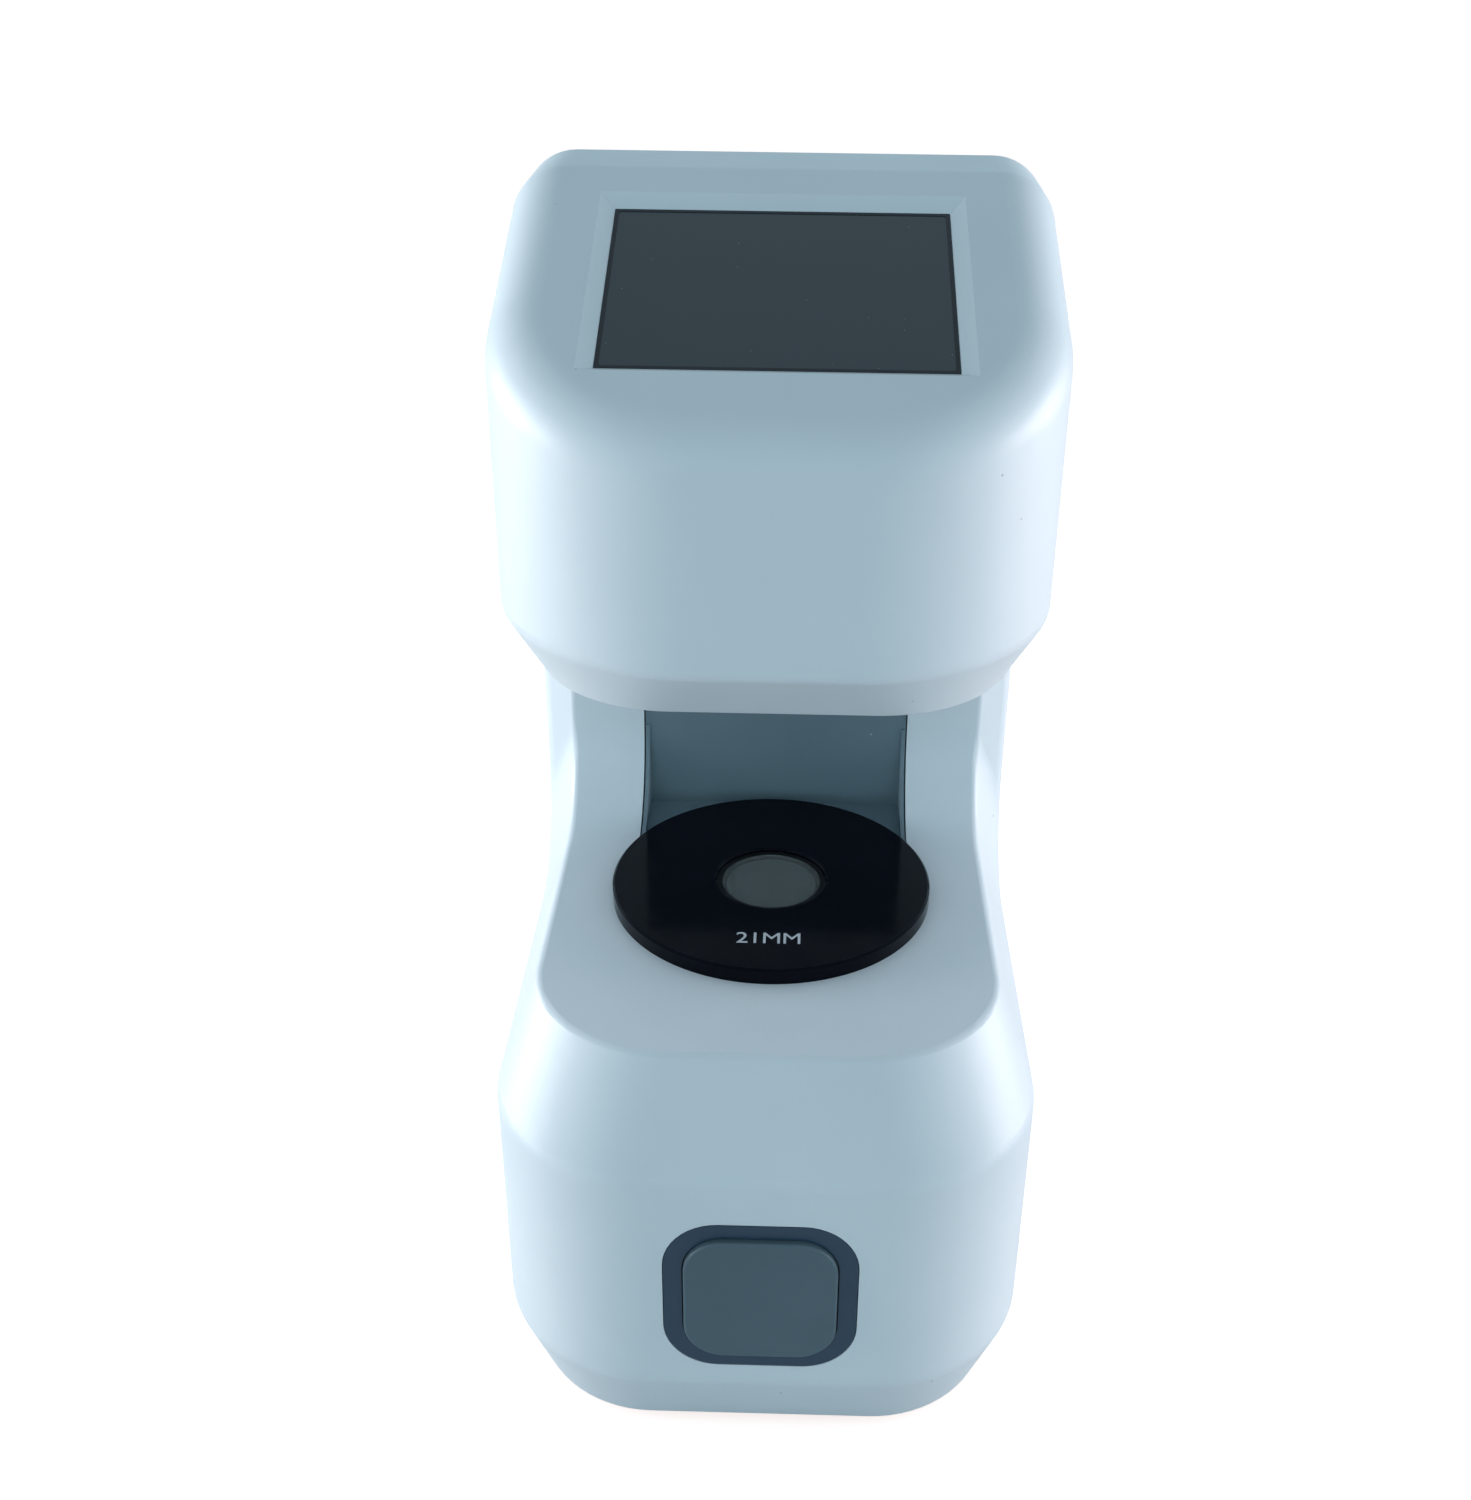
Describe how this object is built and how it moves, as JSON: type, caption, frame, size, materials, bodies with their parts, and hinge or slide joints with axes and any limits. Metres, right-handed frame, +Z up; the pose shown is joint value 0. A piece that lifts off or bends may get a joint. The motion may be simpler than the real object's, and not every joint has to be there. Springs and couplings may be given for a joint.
{
  "type": "lensmeter",
  "caption": "Desk-top automatic lensmeter: C-shaped white casing with a display on its sloping head, a round lens table on the lower arm and a measuring button on the front.",
  "frame": {"origin": "middle of the footprint, on the surface that the feet stand on", "axes": "+Z up, the front with the button faces -Y, +X to the right seen from the front"},
  "size_m": [0.096, 0.1175, 0.2075],
  "materials": {
    "casing_white": "satin moulded plastic",
    "feet_rubber": "matte",
    "screw_steel": "satin",
    "panel_dark": "satin",
    "disc_black": "satin",
    "magnet_nickel": "plated",
    "ring_black": "black anodised",
    "optical_glass": "polished",
    "tube_black": "black anodised",
    "pinhole_steel": "blackened",
    "board_green": "solder mask",
    "chip_black": "moulded",
    "diode_yellow": "moulded resin",
    "sink_aluminium": "satin",
    "screen_glass": "gloss",
    "display_dark": "gloss",
    "frame_grey": "matte",
    "button_grey": "satin",
    "bezel_blue": "gloss",
    "spring_steel": "bright",
    "battery_sleeve": "shrink sleeve",
    "tray_black": "matte",
    "brass": "plain",
    "ribbon_amber": "flexible film",
    "rocker_black": "satin",
    "socket_steel": "drawn sheet"
  },
  "bodies": {
    "casing": {"main_housing": "casing_white", "rear_cover": "casing_white", "base_plate": "casing_white", "rubber_feet": "feet_rubber", "base_screws": "screw_steel", "cover_screws": "screw_steel", "throat_panel": "panel_dark", "seat_magnets": "magnet_nickel", "window_ring": "ring_black", "table_window": "optical_glass", "sensor_tube": "tube_black", "pinhole_plate": "pinhole_steel", "lens_cell": "tube_black", "sensor_lens": "optical_glass", "sensor_board": "board_green", "image_sensor": "chip_black", "head_window": "optical_glass", "emitter_tube": "tube_black", "collimator_lens": "optical_glass", "lens_retainer": "tube_black", "emitter_board": "board_green", "light_diode": "diode_yellow", "heat_sink": "sink_aluminium", "optics_screws": "screw_steel", "screen_glass": "screen_glass", "display_panel": "display_dark", "display_frame": "frame_grey", "display_board": "board_green", "display_screws": "screw_steel", "button_bezel": "bezel_blue", "button_spring": "spring_steel", "push_switch": "chip_black", "button_board": "board_green", "battery_pack": "battery_sleeve", "battery_tray": "tray_black", "main_board": "board_green", "processor_chip": "chip_black", "board_standoffs": "brass", "board_screws": "screw_steel", "buzzer": "chip_black", "sensor_ribbon": "ribbon_amber", "display_ribbon": "ribbon_amber", "rocker_frame": "rocker_black", "power_inlet": "socket_steel"},
    "button": {"measure_button": "button_grey"},
    "lens_table": {"lens_table_disc": "disc_black", "disc_magnets": "magnet_nickel"},
    "rocker": {"power_rocker": "rocker_black"}
  },
  "joints": [
    {"name": "button_press", "type": "slide", "parent": "casing", "child": "button", "axis": [0, 1, 0], "range_m": [0, 0.001], "stiffness_N_per_m": 600, "springref_m": -0.001, "deforming": ["button_spring"]},
    {"name": "table_lift", "type": "slide", "parent": "casing", "child": "lens_table", "axis": [0, 0, 1], "range_m": [0, 0.025]},
    {"name": "power_switch", "type": "hinge", "parent": "casing", "child": "rocker", "pos_m": [0.018, 0.0516, 0.028], "axis": [0, 0, 1], "range_deg": [-16, 0]}
  ]
}
